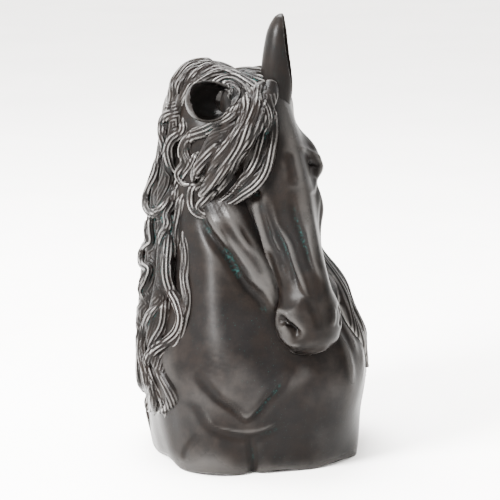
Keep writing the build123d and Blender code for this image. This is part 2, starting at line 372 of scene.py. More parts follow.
class Paint:
    """A material's nodes."""

    def __init__(self, name):
        self.material = bpy.data.materials.new(name)
        self.material.use_nodes = True
        self.tree = self.material.node_tree
        self.shader = self.tree.nodes["Principled BSDF"]
        self.place = self.node("ShaderNodeTexCoord", {}, output=3)

    def put(self, socket, value):
        if isinstance(value, Shade):
            self.tree.links.new(value.socket, socket)
        else:
            socket.default_value = value

    def node(self, kind, settings, *values, output=0, **named):
        made = self.tree.nodes.new(kind)
        for setting, value in settings.items():
            setattr(made, setting, value)
        for socket, value in zip(made.inputs, values):
            self.put(socket, value)
        for name, value in named.items():
            self.put(made.inputs[name.replace("_", " ")], value)
        return Shade(self, made.outputs[output])

    def noise(self, scale, detail, roughness):
        """Clouds of light and dark, fine or broad."""
        size = {"Scale": scale, "Detail": detail, "Roughness": roughness}
        return self.node("ShaderNodeTexNoise", {}, self.place, **size)

    def bump(self, strength, distance, height):
        """Fine unevenness of the skin."""
        return self.node("ShaderNodeBump", {}, Strength=strength, Distance=distance, Height=height)

    def mixed(self, share, first, second):
        """One colour laid over another."""
        made = self.tree.nodes.new("ShaderNodeMix")
        made.data_type = "RGBA"
        for socket, value in ((made.inputs[0], share), (made.inputs[6], first), (made.inputs[7], second)):
            self.put(socket, value if isinstance(value, (Shade, float)) else (*value, 1.0))
        return Shade(self, made.outputs[2])

    def set(self, **sockets):
        for name, value in sockets.items():
            self.put(self.shader.inputs[name.replace("_", " ")], value)


def bronze(name, colours, green, rub_and_highlight, grain):
    """Waxed brown patina: paler on what stands out, partly bare worn metal and partly a painted highlight;
    verdigris and painted shade in what lies deep.
    """
    paint = Paint(name)
    relief = paint.node("ShaderNodeAttribute", {"attribute_name": "relief"}, output=2)
    cloud = paint.noise(14.0, 4.0, 0.55)
    brush = paint.noise(75.0, 5.0, 0.6)
    fine = paint.noise(420.0, 3.0, 0.6)
    spots = paint.node("ShaderNodeTexVoronoi", {}, Vector=paint.place, Scale=520.0)
    deep = (relief * -1.0 + (brush - 0.5) * 0.3).limited(0.2, 0.9)
    raised = (relief + (brush - 0.5) * 0.25).limited(0.15, 0.85)
    patches = cloud.limited(0.45, 0.68)
    verdigris = deep * patches * fine.limited(0.46, 0.6) * green
    specks = (1.0 - spots.limited(0.08, 0.24)) * fine.limited(0.5, 0.62) * patches * (0.25 + deep) * green
    body = paint.mixed(brush.limited(0.3, 0.72), colours.patina, colours.umber)
    body = paint.mixed(patches * 0.4, body, colours.slate)
    body = paint.mixed(deep * 0.6, body, colours.shadow)
    body = paint.mixed(verdigris, body, colours.verdigris)
    body = paint.mixed(specks * 0.8, body, colours.bloom)
    # Painted highlight: the raised places take a pale metal colour, partly worn bare bronze and partly a
    # painted highlight.
    body = paint.mixed(raised * rub_and_highlight, body, colours.rubbed_and_highlight)
    rough = 0.33 + (brush - 0.5) * 0.2 + verdigris * 0.3 - raised * 0.08
    height = fine * 0.35 + brush * 0.65
    bump = paint.bump(grain, 0.0006, height)
    paint.set(Base_Color=body, Roughness=rough, Metallic=raised * rub_and_highlight * 0.7, Normal=bump)
    paint.set(Specular_IOR_Level=0.04, IOR=1.5)


def bare_bronze(name, colours):
    """Dull cast metal, as it is inside, with its skin from the mould."""
    paint = Paint(name)
    cast = paint.noise(260.0, 5.0, 0.65)
    stain = paint.noise(22.0, 3.0, 0.5)
    body = paint.mixed(stain.limited(0.35, 0.7), colours.umber, colours.metal)
    bump = paint.bump(0.5, 0.0008, cast)
    paint.set(Base_Color=body, Roughness=0.5 + cast * 0.25, Metallic=0.8, Normal=bump)


def plaster(name, colour):
    """The matt, pale floor."""
    paint = Paint(name)
    cloud = paint.noise(3.0, 4.0, 0.6)
    fine = paint.noise(160.0, 3.0, 0.6)
    shade = tuple(0.95 * part for part in colour)
    bump = paint.bump(0.05, 0.001, fine)
    paint.set(Base_Color=paint.mixed(cloud.limited(0.3, 0.7), shade, colour), Roughness=0.85, Normal=bump)


def finish_piece(piece, material, slot, relief, *nodes):
    """Gives a piece its finish and hides the solid parts it stands for."""
    mark_relief(piece, *relief)
    piece.data.materials.clear()
    piece.data.materials.append(bpy.data.materials[material])
    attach(piece, "root")
    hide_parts(*nodes)


# ---- chest and neck


def neck_row(height):
    """The neck's measures at one height or more."""
    rows = np.array(NECK, float)
    return hermite(rows[:, 0], rows[:, 1:], np.atleast_1d(height))


def neck_point(azimuth, height):
    """Points on the neck's skin. Azimuth is in radians from the chest towards the horse's right."""
    x, y, half_width, half_depth, twist, squareness = neck_row(height).T
    heading = -math.pi / 2 - np.asarray(azimuth)
    angle = heading - np.radians(twist)
    across = np.abs(np.cos(angle)) / half_width
    deep = np.abs(np.sin(angle)) / half_depth
    reach = (across**squareness + deep**squareness) ** (-1 / squareness)
    return np.stack((x + reach * np.cos(heading), y + reach * np.sin(heading), height + 0 * reach), axis=-1)


# Strokes on the chest, drawn on the board: course, width, height
CHEST_FOLDS = [
    ((-58, 84, -45, 68, -33, 56, -19, 46, -7, 35), 5.0, -2.0),
    ((-7, 35, 5, 44, 16, 58, 30, 74, 36, 86), 5.0, -2.0),
    ((-45, 71, -33, 58, -19, 49, -7, 39, 5, 48, 16, 62, 30, 78), 1.8, 1.2),
    ((-45, 68, -33, 55, -19, 45, -7, 34, 5, 43, 16, 57, 30, 73), 1.8, -1.6),
    ((-70, 56, -54, 44, -46, 32, -24, 20, -5, 18, 16, 22, 40, 34), 4.5, -1.8),
    ((-54, 51, -46, 40, -40, 30, -24, 25, -5, 23, 8, 25, 20, 30, 34, 35), 1.9, 1.6),
    ((-4, 22, -2, 8, 0, -8, 0, -26), 3.4, -2.6),
    ((-52, 21, -64, 6, -70, -8), 3.0, -1.3),
    ((-42, 250, -40, 200, -38, 140, -33, 70), 14.0, 2.4),
    ((-62, 195, -66, 130, -70, 70), 12.0, -1.6),
    ((-84, 60, -80, 20, -72, -10), 8.0, -1.2),
    ((20, 80, 40, 74, 58, 90), 9.0, 1.2),
    ((70, 186, 84, 158, 98, 124, 104, 92), 3.6, 2.4),
    ((62, 176, 76, 150, 90, 118, 96, 84, 97, 56), 3.4, 2.0),
    ((80, 190, 94, 164, 107, 132, 111, 100, 110, 60), 3.4, 2.4),
    ((-36, 262, -24, 240, -12, 218, 0, 198, 12, 176, 22, 154, 26, 138), 14.0, 10.0),
    ((-37, 234, -28, 217, -20, 202, -9, 184, 3, 167), 1.8, -1.8),
    ((-24, 236, -8, 208, 1, 197, 13, 173, 22, 150), 2.6, 2.4),
    ((-17, 232, -3, 204, 8, 184, 17, 164), 2.2, -1.6),
]
CHEST_SWELLINGS = [
    ((-12, 78), (34, 32), 3.5),
    ((-38, -12), (26, 22), 7.0),
    ((34, -4), (24, 20), 2.5),
    ((0, -28), (9, 14), -4.5),
    ((82, 60), (26, 44), 3.5),
    ((-88, 88), (18, 30), 4.0),
    ((62, 16), (16, 20), 1.5),
]

# The edge of the right jaw, raised on the head's side and sunk on the throat's
JAW_EDGE = (-54, 250, -44, 231, -33, 213, -22, 200, -11, 183, -2, 169, 9, 158, 16, 143, 18, 132)
# The lower rim's waves (how many, the first one's start, their fading upwards) and the bulges above
# it at the back (how many, the first one's start, their height and lift)
HEM_WAVES, HEM_START, HEM_FADE = 10, 2.2, 9
BULGES, BULGE_START, BULGE_REACH, BULGE_LIFT = 7, 0.9, 26, 2.0
WALLED_RINGS = 180  # how many of the skin's rings have the casting's wall behind them
UNDER_RIGHT_EAR = ((-29, -33, 364), (22, 22, 24), -20.0)


class HORSEBUST_OT_chest(bpy.types.Operator):
    """Sculpts the hollow chest and neck, with the folds of the breast and the wavy lower rim"""

    bl_idname = "horsebust.chest"
    bl_label = "Chest and neck"

    def execute(self, context):
        sizes = context.scene.horse_bust
        heights = np.concatenate(([0, 1.2, 3.0], np.linspace(5, 378, 192), [382, 386, 389, 390]))
        azimuths = np.linspace(0, 2 * math.pi, 344, endpoint=False)
        skin = np.stack([neck_point(azimuths, np.full(len(azimuths), height)) for height in heights])
        skin[0] += (skin[0].mean(axis=0) - skin[0]) * sizes.rounding
        flat = skin.reshape(-1, 3)
        normals = grid_normals(skin).reshape(-1, 3)
        seen = smooth_step(0.05 - normals @ BOARD_AWAY * 2.0)
        board = on_board(flat)
        folds = [(course, width, sizes.depth * height) for course, width, height in CHEST_FOLDS]
        lift = seen * (marks(board, folds, CHEST_SWELLINGS) + stroke(board, JAW_EDGE, 5.0, 4.0, fold=True))
        ripple = np.sin(flat[:, 0] * 0.11 + flat[:, 2] * 0.03) + np.sin(flat[:, 1] * 0.13 - flat[:, 2] * 0.05)
        lift += 0.35 * ripple + swell(flat, *UNDER_RIGHT_EAR)
        turned = np.arctan2(flat[:, 0] - 2, flat[:, 1] - 4)
        bulge = np.exp(-((flat[:, 2] / BULGE_REACH) ** 2)) * BULGE_LIFT
        lift += bulge * np.sin(turned * BULGES + BULGE_START) * (1 - seen)
        flat = flat + normals * lift[:, None]
        flat[:, 2] = np.maximum(flat[:, 2], 0)
        around = np.arctan2(flat[:, 1] - 4, flat[:, 0] - 3)
        waves = 0.5 + 0.5 * np.sin(HEM_WAVES * around + HEM_START)
        flat[:, 2] += sizes.hem * waves * np.exp(-flat[:, 2] / HEM_FADE)
        skin = flat.reshape(skin.shape)
        inner = [ring - unit(ring - ring.mean(0)) * sizes.wall for ring in skin[:WALLED_RINGS:4]]
        for ring, height in zip(inner, heights[:WALLED_RINGS:4]):
            ring[:, 2] = height
        shell = np.concatenate((skin[::-1], np.stack(inner)))
        rings, around = shell.shape[:2]
        piece = new_piece("bust", slimmed(shell).reshape(-1, 3), grid_faces(rings, around))
        finish_piece(piece, "patina", "bronze_skin", (40, 2.4), "bust_shell", "core_plugs")
        return {"FINISHED"}


# ---- head


def head_axes(sizes):
    """Directions of the head: from poll to lips, to its left, and out of its forehead."""
    turn, drop = sizes.turn, sizes.drop
    down = np.array((math.sin(turn) * math.sin(drop), -math.cos(turn) * math.sin(drop), -math.cos(drop)))
    left = np.array((math.cos(turn), math.sin(turn), 0.0))
    return np.array((down, left, np.cross(down, left)))


def head_grid(rings, around):
    """The head's form before the details, by places along it, to its left and to its forehead."""
    rows = np.array(HEAD, float)
    ease = 0.5 - 0.5 * np.cos(np.linspace(0, math.pi, rings))
    share = 0.65 * np.linspace(0, 1, rings) + 0.35 * ease
    along = rows[0, 0] + share * (rows[-1, 0] - rows[0, 0])
    top, low, side, widest, chin = hermite(rows[:, 0], rows[:, 1:], along).T
    depth = top - low
    shoulder, cheek = top - 0.12 * depth, low + 0.13 * depth
    right = [(0.62 * side, shoulder), (side, widest), (0.5 * (side + chin), 0.5 * (widest + cheek))]
    right += [(chin, cheek), (0.66 * chin, low + 0.03 * depth)]
    outline = [(0 * side, top), *right, (0 * side, low), *[(-x, y) for x, y in reversed(right)]]
    outline = np.array(outline)
    count = len(outline)
    wrapped = np.concatenate((outline[-2:], outline, outline[:3]))
    at = np.linspace(0, count, around, endpoint=False)
    form = hermite(np.arange(-2, count + 3), wrapped.reshape(count + 5, -1), at).reshape(around, 2, rings)
    places = np.broadcast_to(along[:, None], (rings, around))
    return np.stack((places, form[:, 0].T, form[:, 1].T), axis=-1)


# Swellings on both sides of the head: place (along, aside, to the forehead), radii, height
HEAD_SWELLINGS = [
    ((96, 42, 14), (11, 9, 10), 6.0),
    ((78, 38, 28), (16, 11, 10), 4.5),
    ((112, 38, 6), (7, 8, 12), -4.5),
    ((104, 30, 36), (24, 10, 12), -2.5),
    ((120, 40, 6), (16, 10, 10), -3.0),
    ((74, 38, -38), (34, 14, 28), 4.0),
    ((150, 30, -30), (30, 12, 16), -4.0),
    ((50, 0, 42), (26, 16, 12), 2.5),
    ((170, 0, 34), (36, 12, 8), 2.0),
    ((240, 28, 4), (15, 10, 12), 3.5),
    ((250, 12, -34), (14, 12, 9), 4.0),
    ((252, 20, 10), (14, 12, 10), 1.5),
    ((214, 20, -22), (20, 10, 12), -2.0),
]
# Strokes on both sides of the head: course, width, height
HEAD_STROKES = [
    ([(220, 20, 17), (229, 26, 12), (240, 30, 2), (250, 28, -8)], 3.0, 4.0),
    ([(84, 46, 24), (96, 50, 20), (108, 47, 12)], 2.6, 2.6),
    ([(90, 50, 8), (100, 50, 3), (110, 46, 4)], 2.4, 1.6),
    ([(90, 50, 16), (98, 53, 10), (108, 48, 8)], 1.6, -2.2),
    ([(112, 42, 4), (140, 36, -4), (176, 28, -6)], 5.0, 3.6),
    ([(116, 36, 18), (150, 28, 16), (190, 22, 14), (222, 20, 14)], 5.0, -3.2),
    ([(96, 22, 42), (140, 18, 36), (190, 14, 30), (226, 12, 26)], 4.0, 2.4),
    ([(60, 30, 38), (80, 36, 36), (92, 42, 28)], 4.0, 3.0),
    ([(120, 40, -16), (124, 36, -36), (116, 32, -60)], 4.5, 2.2),
    ([(128, 38, -14), (133, 34, -34), (126, 30, -56)], 5.0, -3.0),
    ([(70, 30, -76), (110, 29, -74), (150, 24, -56), (195, 19, -40)], 4.5, 2.6),
    ([(130, 36, -12), (160, 30, -20), (192, 24, -24), (222, 21, -22)], 2.0, 1.8),
    ([(150, 32, -6), (180, 27, -12), (205, 24, -8), (226, 24, -2)], 1.8, 1.6),
    ([(140, 31, -38), (170, 25, -34), (200, 20, -30)], 2.2, 1.5),
    ([(262, 4, -14), (262, 14, -14), (256, 22, -16), (240, 25, -20), (226, 23, -20)], 2.0, -3.0),
    ([(257, 10, -6), (252, 22, -8), (240, 26, -12)], 3.0, 1.6),
    ([(270, 8, -20), (262, 18, -24), (246, 22, -27)], 3.0, 1.8),
]
# The nostrils, the flared right one first: place, radii, height
NOSTRILS = [
    ((240, -32, -8), (22, 16, 20), 7.5),
    ((244, 30, 2), (10.0, 9.0, 7.0), -9.0),
]
# Left of the head only: the hollow above the brow and the bone below the eye
LEFT_OF_HEAD = [((46, 42, 12), (22, 22, 26), -11.0), ((134, 36, 8), (20, 14, 16), 6.0)]

# Strokes on the side of the head that faces the board: course, width, height
CHEEK_STROKES = [
    ((16, 255, 24, 229, 36, 207, 40, 193, 47, 173, 57, 147), 3.0, 2.6),
    ((53, 232, 61, 185, 70, 168), 2.6, 1.6),
    ((-13, 240, 2, 218, 14, 194, 21, 172), 2.6, 2.0),
    ((17, 219, 22, 208, 27, 198), 1.9, 1.6),
    ((6, 250, 14, 222, 26, 196, 34, 172), 3.4, -2.2),
    ((38, 262, 41, 236, 50, 208, 60, 176), 3.8, -2.2),
    ((44, 306, 54, 300, 63, 295, 68, 288), 2.8, 2.6),
    ((54, 286, 60, 288, 67, 284), 2.4, -2.6),
    ((62, 276, 60, 266, 58, 256), 2.4, 1.8),
    ((34, 300, 38, 280, 40, 262), 5.0, -2.0),
    ((16, 139, 26, 142, 35, 138, 43, 129, 53, 118), 2.4, 2.6),
    ((18, 128, 26, 118, 36, 111, 50, 109), 2.6, 2.2),
    ((21, 136, 29, 133, 37, 126, 47, 116), 5.0, -9.0),
    ((84, 152, 88, 140, 86, 124), 2.6, -3.0),
    ((78, 148, 79, 138, 77, 126), 2.2, 1.4),
    ((30, 108, 44, 101, 62, 102, 78, 108), 2.4, 1.6),
    ((52, 158, 60, 140, 64, 122), 4.0, -1.6),
]


class HORSEBUST_OT_head(bpy.types.Operator):
    """Sculpts the head, with brows, eyes, cheeks, nose, nostrils and lips"""

    bl_idname = "horsebust.head"
    bl_label = "Head"

    def execute(self, context):
        sizes = context.scene.horse_bust
        axes = head_axes(sizes)
        form = head_grid(300, 224)
        local = form.reshape(-1, 3)
        normals = grid_normals(form).reshape(-1, 3)
        both = local.copy()
        both[:, 1] = np.abs(both[:, 1])
        lift = marks(both, HEAD_STROKES, HEAD_SWELLINGS)
        lift = lift + sum(swell(local, *swelling) for swelling in NOSTRILS + LEFT_OF_HEAD)
        local = local + normals * lift[:, None]
        skin = POLL + local @ axes
        normals = grid_normals(skin.reshape(form.shape)).reshape(-1, 3)
        seen = smooth_step(0.05 - normals @ BOARD_AWAY * 2.0)
        board = on_board(skin)
        lift = sum(stroke(board, *drawn) for drawn in CHEEK_STROKES)
        skin = skin + normals * (lift * seen)[:, None]
        piece = new_piece("head", skin, grid_faces(*form.shape[:2]))
        finish_piece(piece, "patina", "bronze_skin", (40, 2.4), "head_shell")
        return {"FINISHED"}


# ---- ears

# Height up the ear, half width, half thickness, and how far round the leaf closes, in degrees from its back
EAR_LEAF = [
    (-12, 10, 11, 178),
    (0, 12, 12.5, 176),
    (14, 14, 14, 166),
    (30, 15, 14.5, 146),
    (48, 15, 14, 128),
    (62, 14.2, 13, 118),
    (74, 12.4, 11.5, 110),
    (83, 9.0, 8.5, 104),
    (88, 5.8, 5.5, 100),
    (90, 2.6, 2.6, 98),
]


def ear_piece(name, seat, aim, opening, length, breadth, rolled, sizes):
    """A leaf of bronze, rolled round its hollow."""
    rows = np.array(EAR_LEAF, float)
    heights = np.linspace(rows[0, 0], rows[-1, 0], 110)
    half_width, half_body, round_to = hermite(rows[:, 0], rows[:, 1:], heights).T
    aim = unit(np.array(aim, float))
    side = unit(np.cross(np.array(opening, float), aim))
    front = np.cross(aim, side)
    share = np.linspace(-1, 1, 40)
    wall = sizes.ear_wall * np.clip(1.15 - 0.45 * np.abs(share) ** 3, 0.4, 2)
    rings = []
    for height, width, body, reach in zip(heights, half_width * breadth, half_body * breadth, round_to):
        angle = share * math.radians(reach) * rolled
        thin = np.minimum(wall, 0.42 * min(width, body))
        outer = np.stack((width * np.sin(angle), -body * np.cos(angle)), axis=-1)
        inner = np.stack(((width - thin) * np.sin(angle), -(body - thin) * np.cos(angle)), axis=-1)[::-1]
        loop = np.concatenate((outer, inner))
        at = seat + aim * height * length / 90 - front * sizes.ear_curl * (max(height, 0) / 90) ** 2
        rings.append(at + loop[:, :1] * side + loop[:, 1:] * front)
    leaf = np.stack(rings)
    piece = new_piece(name, leaf.reshape(-1, 3), grid_faces(*leaf.shape[:2]))
    fuse(piece, 0.8, 3)
    finish_piece(piece, "patina", "bronze_skin", (24, 2.4), name)


class HORSEBUST_OT_ears(bpy.types.Operator):
    """Makes the two ears: the left one upright, the right one laid out with its hollow to the front"""

    bl_idname = "horsebust.ears"
    bl_label = "Ears"

    def execute(self, context):
        sizes = context.scene.horse_bust
        axes = head_axes(sizes)
        left_seat = POLL + np.array((28, 6, 22)) @ axes
        right_seat = POLL + np.array((18, -54, 16)) @ axes
        ear_piece("left_ear", left_seat, (0.01, 0.08, 1), (0.97, -0.12, 0), 89, 1.14, 1.0, sizes)
        ear_piece("right_ear", right_seat, (-0.66, -0.74, 0.08), (0.66, -0.66, 0.33), 46, 1.36, 0.74, sizes)
        return {"FINISHED"}


# ---- hair

LOOSEST = 4.0  # how far a drawn lock may stand off the solid under it
ROOT_SUNK, TIP_SUNK, UNDER = 3.0, 2.0, 3.0  # how deep a lock's root, tip and underside lie
# The edges of the mane's locks, in degrees round the neck, at the bottom and at the top
MANE_EDGE_BOTTOM = [48, 63, 79, 97, 117, 139, 161, 182, 203, 224, 243, 262, 279, 295]
MANE_EDGE_TOP = [62, 76, 91, 107, 123, 139, 155, 171, 187, 203, 219, 235, 251, 267]
MANE_TOP, MANE_WAVE, MANE_WAVELENGTH, MANE_SPREAD = 376, 4.5, 120.0, 1.5
MANE_AZIMUTHS = np.radians(np.arange(34, 316, 2.0))
BEFORE, BESIDE = 600, 260  # how far off the lines start that feel for the solids
GROOVE = 0.55  # the height left in the grooves between a lock's ridges

# Locks drawn on the board: course, width, lift, strands
CREST_LOCKS = [
    ((-36, 386, -43, 390, -54, 392, -64, 389, -73, 380, -79, 369, -80, 357, -83, 346, -90, 337), 9, 4, 3),
    ((-36, 385, -45, 388, -54, 386, -63, 381, -70, 373, -74, 364, -76, 353, -79, 342), 8, 4, 3),
    ((-34, 384, -46, 384, -56, 377, -63, 368, -68, 359, -73, 349, -77, 339), 8, 5, 3),
    ((-26, 381, -39, 380, -50, 374, -59, 366, -67, 356, -73, 345), 8, 6, 3),
    ((12, 349, 4, 360, -8, 369, -22, 376, -35, 376, -48, 370, -59, 363, -67, 354, -72, 344), 9, 7, 3),
    ((16, 374, 6, 377, -4, 379, -17, 379, -30, 383, -42, 388), 9, 3, 3),
    ((17, 364, 6, 370, -6, 375, -20, 379, -32, 382), 9, 4, 3),
]
FORELOCK_LOCKS = [
    ((-33, 365, -25, 364, -20, 354, -21, 344), 8, 5, 3),
    ((-45, 363, -27, 372, -11, 368, -4, 357, -5, 341), 6, 4, 2),
    ((-34, 360, -24, 366, -15, 360, -18, 344, -27, 331, -43, 325, -59, 320), 7, 4, 3),
    ((-13, 349, -15, 338, -27, 328, -46, 320, -62, 315, -70, 306, -72, 293), 10, 5, 3),
    ((-7, 360, -5, 341, -11, 322, -21, 306, -34, 290, -46, 277, -54, 269), 11, 6, 3),
    ((5, 360, 3, 341, -5, 322, -11, 306, -24, 287, -37, 269, -48, 258), 11, 6, 3),
    ((13, 347, 5, 325, -5, 306, -18, 287, -27, 271, -40, 253), 10, 6, 3),
    ((19, 335, 14, 303, 5, 282, -11, 266, -27, 253, -40, 244), 10, 6, 3),
    ((14, 350, 19, 330, 18, 304, 13, 282, 0, 263, -16, 252, -32, 244, -45, 235), 9, 7, 3),
    ((8, 352, 12, 332, 9, 308, 2, 286, -10, 268, -26, 254, -40, 244), 10, 8, 3),
    ((-28, 306, -42, 296, -54, 282, -62, 268), 9, 6, 3),
    ((-62, 318, -66, 300, -60, 284, -62, 272), 8, 5, 3),
    ((-50, 317, -66, 311, -70, 299, -67, 290, -74, 277, -70, 269, -59, 266), 9, 6, 2),
    ((-54, 299, -61, 287, -67, 277, -72, 271), 7, 5, 2),
    ((-51, 269, -59, 263, -61, 250, -56, 239, -45, 233), 8, 5, 2),
    ((-34, 263, -46, 253, -53, 244, -44, 235), 8, 5, 2),
]
RIGHT_LOCKS = [
    ((-77, 339, -89, 334, -91, 322, -89, 306, -94, 296), 10, 5, 3),
    ((-70, 335, -69, 322, -81, 312, -85, 299, -83, 287, -75, 277), 9, 5, 3),
    ((-94, 303, -97, 284, -102, 269, -107, 258, -107, 246, -99, 238, -90, 244, -82, 258, -77, 274), 9, 7, 3),
    ((-75, 268, -80, 252, -86, 239, -85, 228, -91, 217, -94, 204), 9, 5, 3),
    ((-104, 236, -105, 220, -104, 209, -111, 204, -113, 194), 9, 6, 2),
    ((-69, 260, -74, 242, -77, 226, -78, 207, -80, 190), 8, 4, 3),
    ((-82, 228, -85, 208, -86, 186, -83, 165, -74, 149, -70, 133, -74, 121, -85, 110, -99, 101, -105, 90,
      -101, 74, -93, 58, -88, 44, -89, 16), 10, 7, 3),
    ((-70, 224, -68, 199, -68, 173, -66, 154, -68, 135, -72, 121, -78, 108, -91, 97, -96, 86), 8, 4, 3),
    ((-93, 149, -104, 135, -110, 116, -112, 102, -109, 86, -106, 71, -107, 55, -112, 39), 9, 5, 3),
    ((-86, 154, -88, 138, -92, 122, -101, 104, -105, 90), 10, 4, 3),
    ((-107, 208, -112, 200, -112, 189, -105, 184, -109, 172, -113, 159, -109, 149), 9, 6, 2),
    ((-109, 151, -116, 141, -117, 130, -113, 122, -117, 106, -118, 82, -115, 62, -113, 54), 9, 5, 3),
    ((-112, 55, -116, 36, -112, 24, -105, 6, -96, -8, -89, -19), 9, 4, 3),
    ((-102, 74, -99, 58, -98, 42, -97, 22, -93, 6), 9, 4, 3),
]


def laid(course, tree):
    """A course from the board laid on the solids behind it, with the way out of them."""
    flat = through(course, 5 * len(course))
    depths, outward = np.full(len(flat), np.nan), np.tile(-BOARD_AWAY, (len(flat), 1))
    for k, (across, up) in enumerate(flat):
        start = across * BOARD_RIGHT + up * BOARD_UP - BEFORE * BOARD_AWAY
        hit, normal, _, distance = tree.ray_cast(Vector(start), Vector(BOARD_AWAY))
        if hit is not None:
            depths[k], outward[k] = distance - BEFORE, normal
    found = ~np.isnan(depths)
    if found.any():
        depths = np.interp(np.arange(len(flat)), found.nonzero()[0], depths[found])
    else:
        depths[:] = 0
    depths = eased(depths, 20)
    points = flat[:, :1] * BOARD_RIGHT + flat[:, 1:] * BOARD_UP + depths[:, None] * BOARD_AWAY
    for k, point in enumerate(points):
        near, normal, _, distance = tree.find_nearest(Vector(point))
        if not found[k] or distance > LOOSEST:
            points[k] = near + (Vector(point) - near) * min(1, LOOSEST / max(distance, 0.1))
            outward[k] = normal
    return eased(points, 8), unit(eased(outward, 16) - 0.4 * BOARD_AWAY)


def ribbon(line, outward, width, lift, strands, chance):
    """A closed lock of hair along a line, flat below, with fine ridges above that drift across it."""
    tangent = unit(np.gradient(line, axis=0))
    across = unit(np.cross(tangent, outward))
    up = np.cross(across, tangent)
    share = np.linspace(0, 1, len(line))
    full = np.minimum(1, 0.45 + share / 0.25) * np.minimum(1, 0.12 + (1 - share) / 0.38) ** 0.8
    sunk = ROOT_SUNK * np.clip(1 - share / 0.12, 0, 1) + TIP_SUNK * np.clip(1 - (1 - share) / 0.1, 0, 1)
    over = np.linspace(-1, 1, 8 * strands + 3)
    dome = np.sqrt(np.maximum(1 - over**2, 0))
    drift = 0.35 * np.sin(2 * math.pi * (share * chance.uniform(0.5, 1.0) + chance.uniform()))
    aside = over[None] + drift[:, None] / strands + 1 - 1 / strands
    ridges = np.abs(np.cos(0.5 * math.pi * strands * aside))
    height = lift * full[:, None] * dome[None] * (GROOVE + (1 - GROOVE) * ridges**0.7)
    below = np.linspace(0.8, -0.8, 5)
    aside = np.concatenate((over, below))
    rise = np.concatenate((height, np.tile(-UNDER * np.sqrt(1 - below**2), (len(line), 1))), axis=1)
    wide = 0.5 * width * full[:, None] * aside[None]
    points = (line - up * sunk[:, None])[:, None] + wide[..., None] * across[:, None]
    points = points + rise[..., None] * up[:, None]
    return points.reshape(-1, 3), grid_faces(len(line), len(aside))


def way_out(azimuth):
    """The level direction out of the neck at an azimuth."""
    return np.array((-math.sin(azimuth), -math.cos(azimuth), 0))


def solid_strands(node, count, ridges, chance):
    """Ribbons combed down a solid lock of the mane, from the nape to its tip."""
    tree = solid_tree(node)
    corners = solid_arrays(node)[0]
    heights = np.linspace(corners[:, 2].max() - 2, corners[:, 2].min() + 1, 60)
    middles = neck_row(heights)[:, :2]
    spans = []
    for height, middle in zip(heights, middles):
        found = []
        for azimuth in MANE_AZIMUTHS:
            aim = way_out(azimuth)
            start = np.array((*middle, height)) + aim * BESIDE
            hit = tree.ray_cast(Vector(start), Vector(-aim))[0]
            if hit is not None:
                found.append((azimuth, BESIDE - (Vector(start) - hit).length))
        if len(found) > 1:
            spans.append((height, *middle, np.array(found)))
    width = np.mean([(f[-1, 0] - f[0, 0]) * f[:, 1].mean() for _, _, _, f in spans]) / count
    shapes = []
    for strand in range(count):
        place = (strand + 0.5) / count
        wander, turns = chance.uniform(0.05, 0.1), chance.uniform(1.2, 2.0)
        start = chance.uniform()
        line, outward = [], []
        for k, (height, x, y, found) in enumerate(spans):
            wave = wander * math.sin(2 * math.pi * (start + turns * k / len(spans)))
            share = np.clip(place + wave, 0.1, 0.9)
            azimuth = found[0, 0] + share * (found[-1, 0] - found[0, 0])
            reach = np.interp(azimuth, found[:, 0], found[:, 1])
            aim = way_out(azimuth)
            line.append(np.array((x, y, height)) + aim * (reach - 0.8))
            outward.append(aim)
        shapes.append(ribbon(eased(line, 4), np.array(outward), 1.35 * width, 0.3 * width, ridges, chance))
    return shapes


def score(piece, pattern, depth):
    """Sinks a pattern of fine grooves into a piece's skin."""
    mesh = piece.data
    points, normals = listed(mesh.vertices, "co"), listed(mesh.vertices, "normal")
    points -= normals * (pattern(points / MM - STAND, normals) * depth * MM)[:, None]
    mesh.vertices.foreach_set("co", points.ravel())
    mesh.update()


def ridged(across):
    """How far the skin sinks between ridges one apart."""
    return 0.55 - np.abs(np.cos(math.pi * across)) ** 0.7


def combed_along(courses, spacing):
    """A pattern of parallel grooves along the nearest drawn course, in what faces the board."""
    lines = [through(course, 5 * len(course) // 2) for course in courses]
    headings = np.concatenate([unit(np.gradient(line, axis=0)) for line in lines])
    along = np.concatenate([np.linspace(0, 5.0 * len(line), len(line)) for line in lines])
    line = np.concatenate(lines)

    def pattern(place, normals):
        seen = smooth_step(-normals @ BOARD_AWAY * 2.5)
        board, groove = on_board(place), np.zeros(len(place))
        for part in np.array_split(np.arange(len(place)), len(place) // 4000 + 1):
            k = ((board[part][:, None] - line[None]) ** 2).sum(-1).argmin(1)
            gap = board[part] - line[k]
            aside = headings[k, 0] * gap[:, 1] - headings[k, 1] * gap[:, 0] + 0.7 * np.sin(0.1 * along[k])
            past = np.abs((headings[k] * gap).sum(1))
            near = smooth_step(1.6 - np.abs(aside) / 12) * smooth_step(1.8 - past / 2)
            groove[part] = ridged(aside / spacing) * near
        return groove * seen

    return pattern


def combed_down(ridges):
    """A pattern of fine grooves down the mane's locks, wherever it faces away from the neck."""

    def pattern(place, normals):
        height = np.clip(place[:, 2], 0, MANE_TOP)
        out = unit(place[:, :2] - neck_row(height)[:, :2])
        azimuth = np.degrees(np.arctan2(-out[:, 0], -out[:, 1])) % 360
        azimuth -= MANE_WAVE * np.sin(2 * math.pi * height / MANE_WAVELENGTH)
        low, high = np.array(MANE_EDGE_BOTTOM, float), np.array(MANE_EDGE_TOP, float)
        edges = low + ((height / MANE_TOP) ** MANE_SPREAD)[:, None] * (high - low)
        along = np.clip((azimuth[:, None] - edges[:, :-1]) / np.diff(edges, axis=1), 0, 1).sum(1)
        wander = 0.12 * np.sin(height * 0.045 + 2.0 * along) + 0.05 * np.sin(height * 0.13 + 5.0 * along)
        return ridged(ridges * (along + wander)) * smooth_step((normals[:, :2] * out).sum(1) * 2.0)

    return pattern


